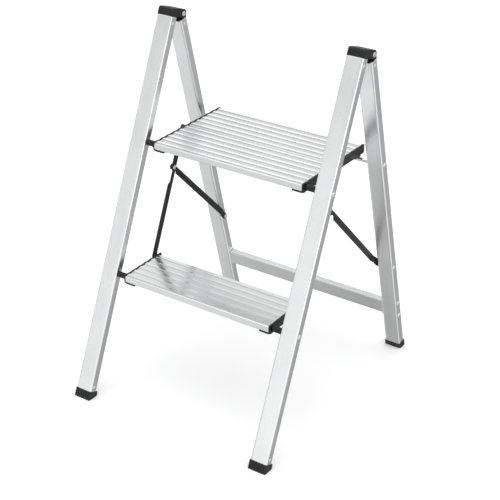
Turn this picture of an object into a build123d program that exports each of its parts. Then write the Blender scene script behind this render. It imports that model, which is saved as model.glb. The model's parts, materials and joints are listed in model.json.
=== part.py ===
from build123d import *
import os
from math import atan2, cos, hypot, radians, sin, tan

# Two-step folding ladder, millimetres. +X is the user's right, +Y is the rear, +Z is up.
# The origin is on the floor, under the centre of the open ladder's outline.
# Left is -X and right is +X. Every "half" value is a distance from the middle plane X = 0.

# ---------------------------------------------------------------- driving dimensions
overall_width = 495.6          # across the outer faces of the stiles
hinge_height = 765.5           # hinge axis above the floor
front_lean = radians(23.47)    # front stiles, from the vertical
rear_lean = radians(14.60)     # rear stiles, from the vertical

front_stile_width = 39.2       # along X
front_stile_depth = 20.0       # front face to rear face
rear_stile_width = 37.2
rear_stile_depth = 20.0
stile_wall = 1.5
stile_corner = 4.0
hinge_behind_front = 29.0      # hinge axis behind the front stile's centre line
front_stile_top_below_hinge = 12.4
rear_stile_top_below_hinge = 12.2

hinge_above_upper_step = 235.5  # hinge axis above the upper step's standing surface
pivot_below_surface = 7.8      # step pivots, under the standing surface
pivot_behind_nose = 11.5       # step pivots, behind the plank's front edge
plank_length = 363.4
plank_depth = 118.5
plank_height = 14.6
plank_gap = 3.0                # between the two planks of the upper step
plank_wall = 1.8
plank_webs = 3
plank_corner = 2.5
ridge_count = 6
ridge_pitch = 20.0
ridge_width = 7.5
ridge_height = 1.1
first_ridge = 9.5              # centre of the first ridge, behind the front edge
ridge_flare = 0.6              # widening of each side of a ridge per unit of its height
ridge_root = 0.4               # ridge drawn into the plank's top wall
nose_ridge_width = 0.72
nose_ridge_height = 0.5
nose_ridges = (2.1, 4.3)       # centres of the fine nose ridges, behind the front edge
chamber_corner = 0.8

bracket_plate = 3.2
bracket_flange = 23.0
bracket_behind = 7.5           # how far the lower bracket reaches behind its strap pivot
bracket_rim = 1.4              # bracket above the plank's surface
bracket_toe_round = 3.5        # lower corners of the bracket's plate
bracket_rim_round = 1.2        # upper corners of the bracket's plate
flange_inset = 0.6             # flange behind the plank's front edge and before its rear edge
flange_overlap = 0.5           # flange drawn into the plate
tooth_height = 0.7             # bracket's teeth above its rim, one beside each ridge
tooth_root = 0.5
flange_rivet_reach = 13.8      # small rivets, inward of the plank's end
flange_rivet_places = (0.27, 0.73)  # shares of the plank's depth
bush_radius = 6.5

strap_pivot_reach = 106.5      # step pivot to strap pivot
link_width = 13.0              # straps and diagonal bars
link_thickness = 3.0
link_bush_length = 9.8
strap_stud_height = 1.2        # shoulder between the strap and the diagonal bar
bar_pivot_below_hinge = 547.5  # diagonal bar's pivot on the rear stile, along the stile
bar_pivot_ahead = 2.0          # the same pivot, in front of the stile's centre line
bar_joggle = 5.0               # how far the bar's foot is set out towards the rear stile
joggle_start = 17.0            # from the bar's foot pivot to the start of the set
joggle_length = 10.0
step_short_of_flat = radians(5.0)   # what the folded steps lack to lie along the stiles
frames_short_of_flat = radians(1.0)  # what the folded frames lack to be parallel
strap_notch_depth = 5.5        # cleared from the links where the step bush lies when folded
strap_notch_length = 24.0
strap_notch_past_bush = 3.0    # middle of the notch, below the middle of the folded bush
bar_notch_depth = 6.0
bar_notch_length = 10.0
bar_notch_from_head = 13.0     # middle of the notch, from the bar's head pivot
notch_slope = 7.0

rivet_radius = 3.0
rivet_head_radius = 4.8
rivet_head_height = 1.8
head_round = 0.6               # share of a head's height that is rounded over
small_rivet_radius = 2.0
small_head_radius = 3.6
small_head_height = 1.2
hinge_pin_radius = 4.0
hinge_pin_head_radius = 5.2
hinge_pin_head_height = 1.6

cap_height = 17.8              # front cap above the stile's end
cap_top_round = 6.0
cap_edge_round = 2.4           # upright edges of both caps
cap_seam_width = 1.4           # groove round the front cap, before its ears
cap_seam_depth = 1.0
knuckle_radius = 9.5
ear_thickness = 8.0
cap_plug_depth = 34.0
front_cap_rivet_depth = 14.5   # cap rivets, below the stile's end
rear_cap_rivet_depth = 12.8
rear_plug_depth = 22.0
rear_collar_height = 2.2
rear_stop_reach = 17.0         # stop lug of the rear cap, in front of the hinge axis
rear_lug_height = 5.0          # stop lug at its root
rear_lug_edge = 1.0            # stop lug at its tip
cap_overlap = 1.0              # tongue and lug drawn into the rear cap's collar

rod_radius = 4.25
rod_head_margin = 1.2          # peened head beyond the rod, all round
saddle_wall = 5.0
saddle_width = 12.0
saddle_pad = 0.8
saddle_drop = 3.2

brace_height = 38.0
brace_depth = 14.0
brace_wall = 2.0
brace_corner = 3.0
brace_bore_corner = 1.5
brace_groove_spread = 2.2      # fine grooves on top of the brace, either side of its middle
brace_groove_width = 1.0
brace_groove_depth = 0.5
brace_middle_height = 112.78   # middle of the cross brace, above the floor
brace_rivet_spread = 18.5      # brace rivets, above and below the middle
brace_plate = 3.0
brace_plate_margin = 3.6       # end plate beyond the brace, above and below
brace_rivet_radius = 2.4

front_foot_top = 13.0          # top of the shoe on the stile's centre line, above the floor
rear_foot_top = 12.2
foot_proud = 1.8
front_foot_heel = 1.5          # extra depth of the front shoe behind the stile
stile_sunk = 5.0               # stile end below the top of the shoe, along the stile
foot_pocket = 40.0             # length of the cut that clears the stile above its end
foot_plug = 20.0
front_foot_rivet_height = 22.0
grip_count = 6                 # grooves across the front of the front shoe
grip_width = 2.6
grip_depth = 1.2
grip_below_top = 1.6
grip_length = 40.0             # length of each groove, past the sole

side_clearance = 0.3           # between faces of pieces that turn against each other
pin_clearance = 0.06           # running fit of a pin in its bore
seat_clearance = 0.1           # between pieces of one body
open_pivot_gap = 0.3           # between the strap's stud and the bar, where the loop is opened
rod_clearance = 0.3
past_face = 1.0                # how far a cut runs past the face it opens

# ---------------------------------------------------------------- derived places
half_width = overall_width / 2
front_inner = half_width - front_stile_width
rear_inner = half_width - rear_stile_width
upper_surface = hinge_height - hinge_above_upper_step  # standing surfaces above the floor
lower_surface = upper_surface / 2
fold_angle = front_lean + rear_lean - frames_short_of_flat
step_fold_angle = radians(90) - front_lean - step_short_of_flat
brace_below_hinge = (hinge_height - brace_middle_height) / cos(rear_lean)

bracket_inner = plank_length / 2 + seat_clearance
bracket_outer = bracket_inner + bracket_plate
strap_inner = bracket_outer + link_bush_length + side_clearance
strap_outer = strap_inner + link_thickness
bar_inner = strap_outer + strap_stud_height + open_pivot_gap
bar_outer = bar_inner + link_thickness
bar_foot_outer = bar_outer + bar_joggle

front_frame = Plane(origin=(0, 0, hinge_height), x_dir=(1, 0, 0), z_dir=(0, sin(front_lean), cos(front_lean)))
rear_frame = Plane(origin=(0, 0, hinge_height), x_dir=(1, 0, 0), z_dir=(0, -sin(rear_lean), cos(rear_lean)))


def front_point(across, along):
    """(y, z) of a point given in the front stile's own frame, measured from the hinge."""
    return (
        across * cos(front_lean) + along * sin(front_lean),
        hinge_height - across * sin(front_lean) + along * cos(front_lean),
    )


def rear_point(across, along):
    """(y, z) of a point given in the rear stile's own frame, measured from the hinge."""
    return (
        across * cos(rear_lean) - along * sin(rear_lean),
        hinge_height + across * sin(rear_lean) + along * cos(rear_lean),
    )


def along_front(height):
    """Place along the front stile's centre line, from the hinge, at a height above the floor."""
    return (height - hinge_height - hinge_behind_front * sin(front_lean)) / cos(front_lean)


upper_along = along_front(upper_surface - pivot_below_surface)
lower_along = along_front(lower_surface - pivot_below_surface)
upper_pivot = front_point(-hinge_behind_front, upper_along)
lower_pivot = front_point(-hinge_behind_front, lower_along)
upper_strap_pivot = (upper_pivot[0] + strap_pivot_reach, upper_pivot[1])
lower_strap_pivot = (lower_pivot[0] + strap_pivot_reach, lower_pivot[1])
strap_length = hypot(upper_pivot[0] - lower_pivot[0], upper_pivot[1] - lower_pivot[1])
bar_foot_pivot = rear_point(-bar_pivot_ahead, -bar_pivot_below_hinge)


def strap_pivot_at(turn):
    """(across, along) of the upper strap pivot in the front frame, with the step turned up by turn."""
    angle = front_lean + turn
    return (
        strap_pivot_reach * cos(angle) - hinge_behind_front,
        strap_pivot_reach * sin(angle) + upper_along,
    )


def bar_foot_at(fold):
    """(across, along) of the bar's foot pivot in the front frame, with the rear frame folded in by fold."""
    opening = front_lean + rear_lean - fold
    return (
        bar_pivot_below_hinge * sin(opening) - bar_pivot_ahead * cos(opening),
        -bar_pivot_below_hinge * cos(opening) - bar_pivot_ahead * sin(opening),
    )


def bar_reach_down_strap():
    """Distance down the strap at which one bar length serves both the open and the folded ladder."""
    opened = [strap_pivot_at(0)[i] - bar_foot_at(0)[i] for i in (0, 1)]
    folded = [strap_pivot_at(step_fold_angle)[i] - bar_foot_at(fold_angle)[i] for i in (0, 1)]
    difference = opened[0] ** 2 + opened[1] ** 2 - folded[0] ** 2 - folded[1] ** 2
    return difference / (2 * (opened[1] - folded[1]))


bar_along_strap = bar_reach_down_strap()
bar_head_pivot = (
    upper_strap_pivot[0] - bar_along_strap * sin(front_lean),
    upper_strap_pivot[1] - bar_along_strap * cos(front_lean),
)
bar_length = hypot(bar_head_pivot[0] - bar_foot_pivot[0], bar_head_pivot[1] - bar_foot_pivot[1])

flange_bottom = upper_surface - plank_height - seat_clearance - bracket_plate
rod_height = flange_bottom - saddle_pad - rod_clearance - rod_radius
rod_place = rear_point(0, (rod_height - hinge_height) / cos(rear_lean))

upper_nose = upper_pivot[0] - pivot_behind_nose
lower_nose = lower_pivot[0] - pivot_behind_nose
upper_step_depth = 2 * plank_depth + plank_gap
saddle_reach = rod_radius + rod_clearance + saddle_wall
upper_bracket_depth = max(upper_step_depth, rod_place[0] + saddle_reach - upper_nose)


# ---------------------------------------------------------------- small helpers
def side_to_side(radius, low_x, high_x, place):
    """Round bar along X from low_x to high_x, about the (y, z) place."""
    middle = ((low_x + high_x) / 2, place[0], place[1])
    return Pos(*middle) * Rot(0, 90, 0) * Cylinder(radius, high_x - low_x)


def both_ways(low, high, side):
    """The X span low..high on the side given by -1 or +1."""
    return (low, high) if side > 0 else (-high, -low)


def bar_at(radius, low, high, place, side):
    """Round bar along X, on one side of the ladder, from the half distance low to high."""
    low_x, high_x = both_ways(low, high, side)
    return side_to_side(radius, low_x, high_x, place)


def domed_head(radius, height, face, outward, place):
    """Rivet head that stands on the plane X = face and points along outward (-1 or +1)."""
    head = side_to_side(radius, min(face, face + outward * height), max(face, face + outward * height), place)
    rim = head.edges().filter_by(GeomType.CIRCLE).sort_by(Axis.X)[-1 if outward > 0 else 0]
    return fillet(rim, height * head_round)


def one_head_rivet(radius, head_radius, head_height, low, high, place, side):
    """Rivet through the half distances low..high with a domed head at its outer end only."""
    low_x, high_x = both_ways(low, high, side)
    outer_face = high_x if side > 0 else low_x
    shank = side_to_side(radius, low_x, high_x, place)
    return shank + domed_head(head_radius, head_height, outer_face, side, place)


def rivet(radius, head_radius, head_height, low, high, place, side):
    """Rivet through the half distances low..high with a domed head outside each end."""
    inner_face = side * low
    body = one_head_rivet(radius, head_radius, head_height, low, high, place, side)
    return body + domed_head(head_radius, head_height, inner_face, -side, place)


def box_between(low, high):
    """Box between two corners."""
    size = [high[i] - low[i] for i in range(3)]
    middle = [(high[i] + low[i]) / 2 for i in range(3)]
    return Pos(*middle) * Box(*size)


def across_x(points, low_x, high_x):
    """Prism along X from low_x to high_x over a closed outline of (y, z) points."""
    plane = Plane(origin=(low_x, 0, 0), x_dir=(0, 1, 0), z_dir=(1, 0, 0))
    outline = plane * make_face(Polyline(*points, close=True))
    return extrude(outline, high_x - low_x)


def tube(width, depth, corner, low, high):
    """Rounded rectangular tube along Z, about the Z axis, open at both ends."""
    outside = extrude(RectangleRounded(width, depth, corner), high - low)
    bore = extrude(
        RectangleRounded(width - 2 * stile_wall, depth - 2 * stile_wall, corner - stile_wall), high - low
    )
    return Pos(0, 0, low) * (outside - bore)


def plug(width, depth, low, high):
    """Block along Z that fills the bore of a stile."""
    fit = 2 * (stile_wall + seat_clearance)
    profile = RectangleRounded(width - fit, depth - fit, stile_corner - stile_wall)
    return Pos(0, 0, low) * extrude(profile, high - low)


# ---------------------------------------------------------------- frames
def stile_centre(width, side):
    """Half distance of a stile's centre line, with its sign."""
    return side * (half_width - width / 2)


front_stile_bottom = along_front(front_foot_top) - stile_sunk
rear_stile_bottom = (rear_foot_top - hinge_height) / cos(rear_lean) - stile_sunk
front_cap_rivet = front_point(-hinge_behind_front, -front_stile_top_below_hinge - front_cap_rivet_depth)
front_foot_rivet = front_point(-hinge_behind_front, along_front(front_foot_rivet_height))
rear_cap_rivet = rear_point(0, -rear_stile_top_below_hinge - rear_cap_rivet_depth)


def front_holes():
    """(y, z) and radius of each cross hole in a front stile."""
    return [
        (upper_pivot, rivet_radius),
        (lower_pivot, rivet_radius),
        (front_cap_rivet, small_rivet_radius),
        (front_foot_rivet, small_rivet_radius),
    ]


def front_stile(side):
    """Front stile: a rounded box tube with cross holes for its rivets."""
    centre = Pos(stile_centre(front_stile_width, side), -hinge_behind_front, 0)
    top = -front_stile_top_below_hinge
    body = tube(front_stile_width, front_stile_depth, stile_corner, front_stile_bottom, top)
    body = front_frame.location * centre * body
    for place, radius in front_holes():
        body -= stile_bore(front_inner, place, radius + seat_clearance, side)
    return body


def brace_rivet_places():
    """(y, z) of the two rivets that hold the cross brace to a rear stile."""
    return [rear_point(0, -brace_below_hinge + way * brace_rivet_spread) for way in (1, -1)]


def rear_stile(side):
    """Rear stile: a rounded box tube with cross holes for the rod, the bar and the brace."""
    centre = Pos(stile_centre(rear_stile_width, side), 0, 0)
    top = -rear_stile_top_below_hinge
    body = tube(rear_stile_width, rear_stile_depth, stile_corner, rear_stile_bottom, top)
    body = rear_frame.location * centre * body
    holes = [(rod_place, rod_radius), (bar_foot_pivot, rivet_radius), (rear_cap_rivet, small_rivet_radius)]
    holes += [(place, brace_rivet_radius) for place in brace_rivet_places()]
    for place, radius in holes:
        body -= stile_bore(rear_inner, place, radius + seat_clearance, side)
    return body


def stile_bore(inner, place, radius, side):
    """Round cut along X through one side's stile, cap or foot, from its inner face outwards."""
    return bar_at(radius, inner - past_face, half_width + past_face, place, side)


def cap_seam(half, low, rear, rear_top):
    """Ring that cuts the fine groove round the front cap's outside, at the end of its body."""
    front = rear - cap_seam_width
    ring = box_between((-half - past_face, front, low), (half + past_face, rear, rear_top + cap_top_round))
    core_half = half - cap_seam_depth
    return ring - box_between((-core_half, front, low), (core_half, rear, rear_top - cap_seam_depth))


def front_cap(side):
    """Front hinge cap: plug, rounded body over the stile's end and two ears round the hinge pin."""
    low = -front_stile_top_below_hinge
    front = -hinge_behind_front - front_stile_depth / 2
    rear = -hinge_behind_front + front_stile_depth / 2
    half = front_stile_width / 2
    front_top = low + cap_height
    rear_top = front_top + (knuckle_radius - front_top) * (rear - front) / -front
    body = across_x([(front, low), (rear, low), (rear, rear_top), (front, front_top)], -half, half)
    body = fillet(body.edges().filter_by(Axis.X).group_by(Axis.Y)[0].sort_by(Axis.Z)[-1], cap_top_round)
    body = fillet(body.edges().filter_by(Axis.Z), cap_edge_round)
    body -= cap_seam(half, low, rear, rear_top)
    inset = rear - stile_corner
    inset_top = rear_top - (knuckle_radius - rear_top) * stile_corner / -rear
    outline = [(inset, -knuckle_radius), (0, -knuckle_radius), (0, knuckle_radius), (inset, inset_top)]
    for low_x, high_x in ((-half, ear_thickness - half), (half - ear_thickness, half)):
        body += across_x(outline, low_x, high_x)
        body += side_to_side(knuckle_radius, low_x, high_x, (0, 0))
    inside = plug(front_stile_width, front_stile_depth, low - cap_plug_depth, low)
    body += Pos(0, -hinge_behind_front, 0) * inside
    centre = Pos(stile_centre(front_stile_width, side), 0, 0)
    body = front_frame.location * centre * body
    body -= stile_bore(front_inner, (0, hinge_height), hinge_pin_radius + pin_clearance, side)
    body -= stile_bore(front_inner, front_cap_rivet, small_rivet_radius + seat_clearance, side)
    return body


def rear_cap(side):
    """Rear hinge cap: plug, collar with a stop lug, and the tongue that turns on the hinge pin."""
    top = -rear_stile_top_below_hinge
    centre_x = stile_centre(front_stile_width, side)
    collar_half = rear_stile_width / 2
    collar_x = stile_centre(rear_stile_width, side) - centre_x
    collar = box_between(
        (collar_x - collar_half, -rear_stile_depth / 2, top),
        (collar_x + collar_half, rear_stile_depth / 2, top + rear_collar_height),
    )
    collar = fillet(collar.edges().filter_by(Axis.Z), cap_edge_round)
    tongue_half = front_stile_width / 2 - ear_thickness - side_clearance
    tongue = side_to_side(knuckle_radius, -tongue_half, tongue_half, (0, 0))
    neck_low = (-tongue_half, -knuckle_radius, top + cap_overlap)
    tongue += box_between(neck_low, (tongue_half, knuckle_radius, 0))
    lug_half = collar_half - stile_corner
    lug_root = cap_overlap - rear_stile_depth / 2
    lug_front = -rear_stile_depth / 2 - seat_clearance
    lug_top = top + rear_collar_height
    lug = across_x(
        [
            (lug_root, top),
            (lug_front, top),
            (lug_front, lug_top - rear_lug_height),
            (-rear_stop_reach, lug_top - rear_lug_edge),
            (-rear_stop_reach, lug_top),
            (lug_root, lug_top),
        ],
        collar_x - lug_half,
        collar_x + lug_half,
    )
    inside = Pos(collar_x, 0, 0) * plug(rear_stile_width, rear_stile_depth, top - rear_plug_depth, top)
    body = collar + tongue + lug + inside
    body = rear_frame.location * Pos(centre_x, 0, 0) * body
    body -= stile_bore(front_inner, (0, hinge_height), hinge_pin_radius + pin_clearance, side)
    body -= stile_bore(rear_inner, rear_cap_rivet, small_rivet_radius + seat_clearance, side)
    return body


def foot_shoe(profile, low, high, corner):
    """Shoe of a foot: a prism along X with its upright edges rounded."""
    shoe = across_x(profile, low, high)
    upright = shoe.edges().filter_by(lambda edge: abs(edge.tangent_at(0).X) < 0.01 and edge.length > 6)
    upright = [edge for edge in upright if abs(edge.tangent_at(0).Z) > 0.8]
    return fillet(upright, corner)


def foot_socket(width, depth):
    """Cut along Z that clears the stile above its end."""
    fit = 2 * seat_clearance
    return extrude(RectangleRounded(width + fit, depth + fit, stile_corner), foot_pocket)


def front_foot(side):
    """Front foot: rubber shoe with grooves across its front, and a plug up the stile."""
    low_x, high_x = both_ways(front_inner - foot_proud, half_width + foot_proud, side)
    slope = tan(front_lean)
    front_along = along_front(front_foot_top)
    front_face = -hinge_behind_front - front_stile_depth / 2 - foot_proud
    rear_face = -hinge_behind_front + front_stile_depth / 2 + foot_proud + front_foot_heel
    top_front = front_point(front_face, front_along)
    top_rear = front_point(rear_face, front_along)
    toe = top_front[0] - top_front[1] * slope
    heel = top_rear[0] - top_rear[1] * slope + front_foot_heel
    profile = [(toe, 0), (heel, 0), top_rear, top_front]
    shoe = foot_shoe(profile, low_x, high_x, stile_corner)
    centre = Pos(stile_centre(front_stile_width, side), -hinge_behind_front, 0)
    pocket = foot_socket(front_stile_width, front_stile_depth)
    shoe -= front_frame.location * centre * Pos(0, 0, front_stile_bottom) * pocket
    plug_low = front_stile_bottom - past_face
    inside = plug(front_stile_width, front_stile_depth, plug_low, front_stile_bottom + foot_plug)
    shoe += front_frame.location * centre * inside
    pitch = (front_stile_width - 2 * stile_corner) / (grip_count - 1)
    for number in range(grip_count):
        place = (number - (grip_count - 1) / 2) * pitch
        face = front_face + hinge_behind_front
        high = front_along - grip_below_top
        groove = box_between(
            (place - grip_width / 2, face - past_face, high - grip_length),
            (place + grip_width / 2, face + grip_depth, high),
        )
        shoe -= front_frame.location * centre * groove
    return shoe - stile_bore(front_inner, front_foot_rivet, small_rivet_radius + seat_clearance, side)


def rear_foot(side):
    """Rear foot: low rubber shoe with a plug up the stile."""
    low_x, high_x = both_ways(rear_inner - foot_proud, half_width + foot_proud, side)
    slope = tan(rear_lean)
    front_along = (rear_foot_top - hinge_height) / cos(rear_lean)
    reach = rear_stile_depth / 2 + foot_proud
    top_front = rear_point(-reach, front_along)
    top_rear = rear_point(reach, front_along)
    profile = [
        (top_front[0] + top_front[1] * slope, 0),
        (top_rear[0] + top_rear[1] * slope, 0),
        top_rear,
        top_front,
    ]
    shoe = foot_shoe(profile, low_x, high_x, stile_corner)
    centre = Pos(stile_centre(rear_stile_width, side), 0, 0)
    pocket = foot_socket(rear_stile_width, rear_stile_depth)
    shoe -= rear_frame.location * centre * Pos(0, 0, rear_stile_bottom) * pocket
    plug_low = rear_stile_bottom - past_face
    inside = plug(rear_stile_width, rear_stile_depth, plug_low, rear_stile_bottom + foot_plug)
    return shoe + rear_frame.location * centre * inside


def cross_brace():
    """Cross brace: hollow rounded rail between the rear stiles, with two fine grooves on top."""
    length = 2 * (rear_inner - brace_plate - seat_clearance)
    section = Plane(origin=(-length / 2, 0, 0), x_dir=(0, 1, 0), z_dir=(1, 0, 0))
    outside = RectangleRounded(brace_depth, brace_height, brace_corner)
    bore = RectangleRounded(brace_depth - 2 * brace_wall, brace_height - 2 * brace_wall, brace_bore_corner)
    body = extrude(section * (outside - bore), length)
    end = length / 2 + past_face
    top = brace_height / 2
    for middle in (-brace_groove_spread, brace_groove_spread):
        body -= box_between(
            (-end, middle - brace_groove_width / 2, top - brace_groove_depth),
            (end, middle + brace_groove_width / 2, top + past_face),
        )
    return rear_frame.location * Pos(0, 0, -brace_below_hinge) * body


def brace_end_plate(side):
    """End plate of the cross brace, against the rear stile's inner face."""
    low_x, high_x = both_ways(rear_inner - brace_plate, rear_inner, side)
    plate = box_between(
        (low_x, -brace_depth / 2, -brace_height / 2 - brace_plate_margin),
        (high_x, brace_depth / 2, brace_height / 2 + brace_plate_margin),
    )
    plate = fillet(plate.edges().filter_by(Axis.X), brace_corner)
    plate = rear_frame.location * Pos(0, 0, -brace_below_hinge) * plate
    for place in brace_rivet_places():
        plate -= stile_bore(rear_inner - brace_plate, place, brace_rivet_radius + seat_clearance, side)
    return plate


def brace_rivets():
    """The four rivets that hold the cross brace, flush inside its end plates."""
    low = rear_inner - brace_plate
    made = []
    for side in (-1, 1):
        for place in brace_rivet_places():
            made.append(
                one_head_rivet(
                    brace_rivet_radius, rivet_head_radius, rivet_head_height, low, half_width, place, side
                )
            )
    return Compound(made)


# ---------------------------------------------------------------- steps
def plank_section(nose, surface):
    """Outline of a plank in (y, z): hollow box with webs, flat ridges and a fine double nose ridge."""
    middle_y = nose + plank_depth / 2
    middle_z = surface - plank_height / 2
    section = Pos(middle_y, middle_z) * RectangleRounded(plank_depth, plank_height, plank_corner)
    for number in range(ridge_count):
        place = nose + first_ridge + number * ridge_pitch
        foot = ridge_width / 2 + ridge_height * ridge_flare
        top = ridge_width / 2
        section += make_face(
            Polyline(
                (place - foot, surface - ridge_root),
                (place - foot, surface),
                (place - top, surface + ridge_height),
                (place + top, surface + ridge_height),
                (place + foot, surface),
                (place + foot, surface - ridge_root),
                close=True,
            )
        )
    for place in nose_ridges:
        section += Pos(nose + place, surface) * Rectangle(nose_ridge_width, 2 * nose_ridge_height)
    chambers = plank_webs + 1
    room = plank_depth - 2 * plank_wall - plank_webs * plank_wall
    chamber = room / chambers
    inside = plank_height - 2 * plank_wall
    for number in range(chambers):
        place = nose + plank_wall + chamber / 2 + number * (chamber + plank_wall)
        section -= Pos(place, middle_z) * RectangleRounded(chamber, inside, chamber_corner)
    return section


def plank(nose, surface):
    """One extruded plank across the ladder."""
    plane = Plane(origin=(-plank_length / 2, 0, 0), x_dir=(0, 1, 0), z_dir=(1, 0, 0))
    return extrude(plane * plank_section(nose, surface), plank_length)


def bush_bore(low, high, place, radius, side):
    """Round cut along X through a bracket, bush or washer between two half distances."""
    return bar_at(radius, low - past_face, high + past_face, place, side)


def step_bracket(nose, surface, depth, planks, pivot, strap_pivot, side):
    """Black angle bracket at one end of a step: an upright plate and a flange under the planks."""
    low_x, high_x = both_ways(bracket_inner, bracket_outer, side)
    bottom = surface - plank_height - seat_clearance - bracket_plate
    top = surface + bracket_rim
    rear = max(nose + depth, strap_pivot[0] + bracket_behind)
    plate = box_between((low_x, nose, bottom), (high_x, rear, top))
    ends = plate.edges().filter_by(Axis.X)
    plate = fillet(ends.group_by(Axis.Z)[0], bracket_toe_round)
    plate = fillet(plate.edges().filter_by(Axis.X).group_by(Axis.Z)[-1], bracket_rim_round)
    flange_low, flange_high = both_ways(bracket_inner - bracket_flange, bracket_inner + flange_overlap, side)
    flange = box_between(
        (flange_low, nose + flange_inset, bottom),
        (flange_high, nose + depth - flange_inset, bottom + bracket_plate),
    )
    body = plate + flange
    for number in range(ridge_count * planks):
        second = number >= ridge_count
        start = nose + (plank_depth + plank_gap if second else 0)
        place = start + first_ridge + (number % ridge_count) * ridge_pitch
        body += box_between(
            (low_x, place - ridge_width / 2, top - tooth_root),
            (high_x, place + ridge_width / 2, top + tooth_height),
        )
    for place in (pivot, strap_pivot):
        body -= bush_bore(bracket_inner, bracket_outer, place, rivet_radius + seat_clearance, side)
    return body


def step_bush(pivot, side):
    """Spacer bush between a step bracket and the front stile, running on the pivot rivet."""
    outer = front_inner - side_clearance
    body = bar_at(bush_radius, bracket_outer, outer, pivot, side)
    return body - bush_bore(bracket_outer, outer, pivot, rivet_radius + pin_clearance, side)


def link_bush(strap_pivot, side):
    """Spacer bush between a step bracket and its strap."""
    outer = strap_inner - side_clearance
    body = bar_at(bush_radius, bracket_outer, outer, strap_pivot, side)
    return body - bush_bore(bracket_outer, outer, strap_pivot, rivet_radius + seat_clearance, side)


def step_pivot_rivet(pivot, side):
    """Pivot rivet through the front stile, the bush and the bracket."""
    return rivet(
        rivet_radius,
        rivet_head_radius,
        rivet_head_height,
        bracket_inner - side_clearance,
        half_width,
        pivot,
        side,
    )


def strap_rivets(strap_pivot):
    """Rivets that carry the two straps on one step, flush inside the brackets, as separate solids."""
    high = strap_outer + side_clearance
    made = []
    for side in (-1, 1):
        made.append(
            one_head_rivet(
                rivet_radius, rivet_head_radius, small_head_height, bracket_inner, high, strap_pivot, side
            )
        )
    return Compound(made)


def under_rivets(nose, surface, planks):
    """Small rivets that hold the planks down on the bracket flanges."""
    bottom = surface - plank_height - seat_clearance - bracket_plate
    made = []
    for side in (-1, 1):
        for number in range(planks):
            start = nose + number * (plank_depth + plank_gap)
            for part in flange_rivet_places:
                x = side * (bracket_inner - flange_rivet_reach)
                spot = Pos(x, start + plank_depth * part, bottom - small_head_height / 2)
                head = Cylinder(small_head_radius, small_head_height)
                rim = head.edges().filter_by(GeomType.CIRCLE).sort_by(Axis.Z)[0]
                head = fillet(rim, small_head_height * head_round)
                made.append(spot * head)
    return Compound(made)


def rod_saddle(side):
    """Pad under the upper step's flange, with a shallow round seat for the stop rod."""
    low_x, high_x = both_ways(bracket_outer - saddle_width, bracket_outer, side)
    pad = box_between(
        (low_x, rod_place[0] - saddle_reach, flange_bottom - saddle_drop),
        (high_x, rod_place[0] + saddle_reach, flange_bottom),
    )
    return pad - side_to_side(rod_radius + rod_clearance, low_x - past_face, high_x + past_face, rod_place)


def stop_rod():
    """Round rod between the rear stiles, with a peened head at each end, under the upper step."""
    rod = side_to_side(rod_radius, -half_width, half_width, rod_place)
    head_radius = rod_radius + rod_head_margin
    rod += domed_head(head_radius, rivet_head_height, half_width, 1, rod_place)
    return rod + domed_head(head_radius, rivet_head_height, -half_width, -1, rod_place)


# ---------------------------------------------------------------- links
def link_outline(length, notch_place, notch_side, notch_depth, notch_length):
    """Flat link from (0, 0) to (length, 0) with round ends and one notch in a long edge.

    The notch's middle is at notch_place along the link; notch_side is +1 or -1.
    """
    half = link_width / 2
    outline = Pos(length / 2, 0) * SlotCenterToCenter(length, link_width)
    floor = notch_side * (half - notch_depth)
    edge = notch_side * (half + past_face)
    flat = notch_length / 2
    ramp = notch_slope * (notch_depth + past_face) / notch_depth
    cut = make_face(
        Polyline(
            (notch_place - flat - ramp, edge),
            (notch_place - flat, floor),
            (notch_place + flat, floor),
            (notch_place + flat + ramp, edge),
            close=True,
        )
    )
    return outline - cut


def link_plane(start, end, low_x):
    """Plane X = low_x with its own X axis along the link from start to end."""
    slope = atan2(end[1] - start[1], end[0] - start[0])
    return Plane(origin=(low_x, start[0], start[1]), x_dir=(0, cos(slope), sin(slope)), z_dir=(1, 0, 0))


def bored(body, low_x, high_x, holes):
    """The body with holes along X: each hole is a (y, z) place and a radius."""
    for place, radius in holes:
        body -= side_to_side(radius, low_x - past_face, high_x + past_face, place)
    return body


def strap(side):
    """Strap between the two steps, notched in front where the upper step's bush lies when folded."""
    bush_place = strap_pivot_reach * cos(step_short_of_flat)
    outline = link_outline(
        strap_length, bush_place + strap_notch_past_bush, -1, strap_notch_depth, strap_notch_length
    )
    low_x, high_x = both_ways(strap_inner, strap_outer, side)
    body = extrude(link_plane(upper_strap_pivot, lower_strap_pivot, low_x) * outline, high_x - low_x)
    holes = [
        (upper_strap_pivot, rivet_radius + pin_clearance),
        (lower_strap_pivot, rivet_radius + side_clearance),
        (bar_head_pivot, rivet_radius + seat_clearance),
    ]
    return bored(body, low_x, high_x, holes)


def strap_stud(side):
    """Head and shank of the strap-to-bar rivet, up to the bar's near face."""
    low_x, high_x = both_ways(strap_inner, strap_outer + strap_stud_height, side)
    shank = side_to_side(rivet_radius, low_x, high_x, bar_head_pivot)
    shank += bar_at(rivet_head_radius, strap_outer, strap_outer + strap_stud_height, bar_head_pivot, side)
    inner_face = low_x if side > 0 else high_x
    return shank + domed_head(rivet_head_radius, rivet_head_height, inner_face, -side, bar_head_pivot)


def joggle_profile(side):
    """Edge view of the diagonal bar as (distance from the foot pivot, X) points, with its set foot."""
    out = side * bar_joggle
    near, far = side * bar_inner, side * bar_outer
    start, end = joggle_start, joggle_start + joggle_length
    tail, head = -link_width, bar_length + link_width
    return [
        (tail, near + out), (start, near + out), (end, near), (head, near),
        (head, far), (end, far), (start, far + out), (tail, far + out),
    ]


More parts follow.
